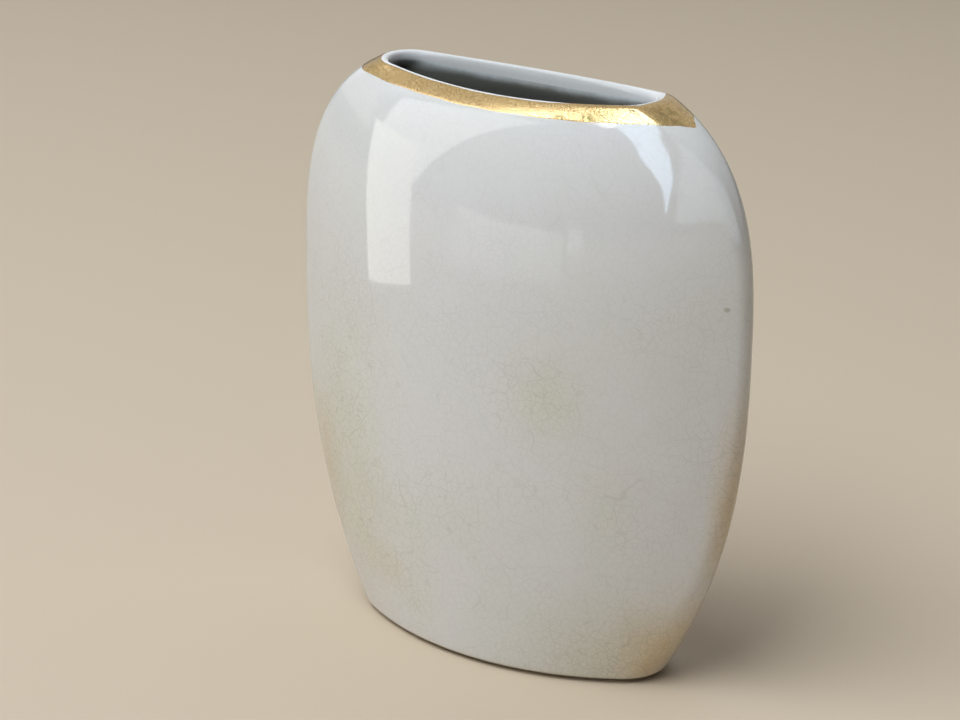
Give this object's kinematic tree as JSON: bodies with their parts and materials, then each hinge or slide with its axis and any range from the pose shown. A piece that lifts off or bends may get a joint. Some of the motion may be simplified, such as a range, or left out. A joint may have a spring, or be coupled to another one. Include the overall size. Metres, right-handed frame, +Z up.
{
  "type": "vase",
  "caption": "Flat, pillow-shaped porcelain vase with an almond section, a narrow almond mouth and a gilded rim.",
  "frame": {"origin": "centre of the almond-shaped foot ring, on the surface the vase stands on", "axes": "+Z up through the mouth, X along the width of the vase, Y through its depth; both broad faces are alike"},
  "size_m": [0.121, 0.047, 0.14],
  "materials": {
    "fired_porcelain": "unglazed, dry and fine-grained",
    "outer_glaze": "clear gloss over white, finely crazed, tan stains",
    "inner_glaze": "clear gloss over white",
    "underside_glaze": "clear gloss over white",
    "gilding": "burnished fired gold, slightly rubbed"
  },
  "bodies": {
    "root": {"porcelain_body": "fired_porcelain", "outer_glaze": "outer_glaze", "inner_glaze": "inner_glaze", "underside_glaze": "underside_glaze", "gold_rim_band": "gilding"}
  },
  "joints": []
}
